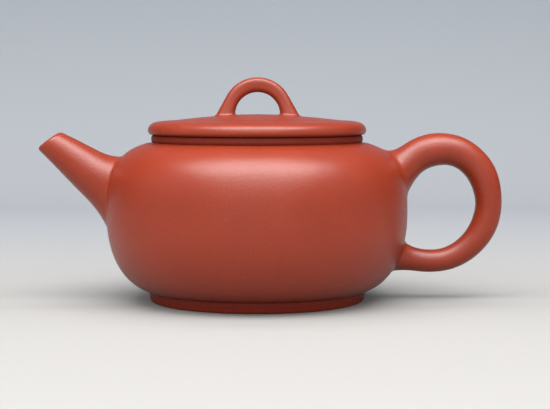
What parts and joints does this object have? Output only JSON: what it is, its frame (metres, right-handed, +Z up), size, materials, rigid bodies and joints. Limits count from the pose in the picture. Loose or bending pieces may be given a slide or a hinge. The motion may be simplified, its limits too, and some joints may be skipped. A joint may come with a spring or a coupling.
{
  "type": "clay teapot",
  "caption": "Round squat clay teapot with an upturned spout, an ear-shaped handle, and a lift-off lid with an arched bridge knob.",
  "frame": {"origin": "on the pot's axis, in the plane the foot ring stands on", "axes": "+Z up along the pot's axis, -X towards the spout, +X towards the handle, +Y completes the right-handed frame"},
  "size_m": [0.1601, 0.104, 0.0769],
  "materials": {
    "fired_clay": "satin, burnished",
    "fired_clay_inside": "matt, not burnished"
  },
  "bodies": {
    "pot": {"floor_slab": "fired_clay_inside", "pot_wall": "fired_clay", "shoulder_slab": "fired_clay", "mouth_ring": "fired_clay", "foot_ring": "fired_clay", "spout": "fired_clay", "handle": "fired_clay", "ball_strainer": "fired_clay_inside"},
    "lid": {"lid_plate": "fired_clay", "lid_rim": "fired_clay", "lid_flange": "fired_clay_inside", "bridge_knob": "fired_clay"}
  },
  "joints": [
    {"name": "lid_lift", "type": "slide", "parent": "pot", "child": "lid", "axis": [0, 0, 1], "range_m": [0, 0.06]}
  ]
}
